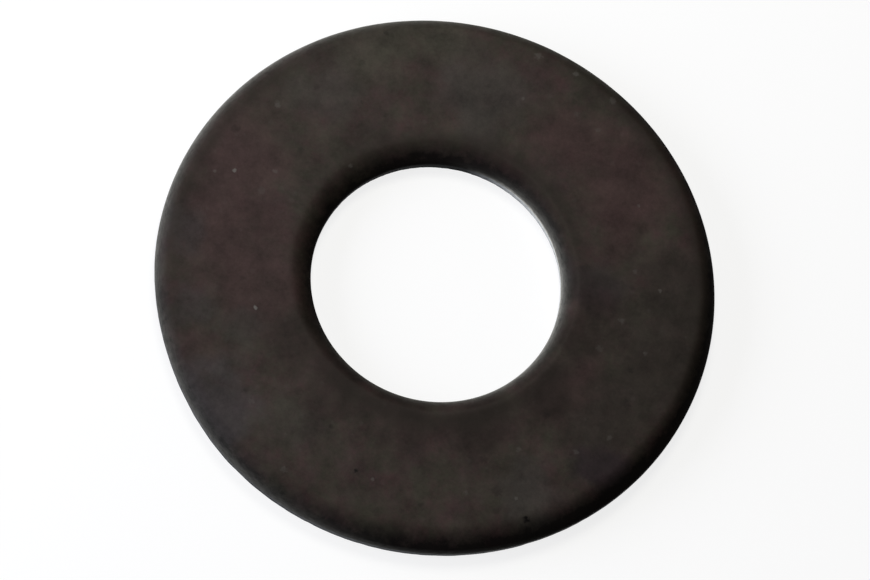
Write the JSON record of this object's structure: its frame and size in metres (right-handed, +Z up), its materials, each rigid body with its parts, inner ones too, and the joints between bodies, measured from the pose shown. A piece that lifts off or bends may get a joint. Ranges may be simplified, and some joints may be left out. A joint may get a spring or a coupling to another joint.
{
  "type": "thrust washer",
  "caption": "Flat round thrust washer with a plain central bore, stamped edges rolled over on the upper side, and a dark blackened steel finish.",
  "frame": {"origin": "centre of the bore on the burr-side face, which the washer lies on", "axes": "+Z up along the bore axis, from the burr side to the die-roll side; +X and +Y are free, because the washer is round"},
  "size_m": [0.028, 0.028, 0.0015],
  "materials": {
    "blackened_steel": "matte"
  },
  "bodies": {
    "root": {"washer": "blackened_steel"}
  },
  "joints": []
}
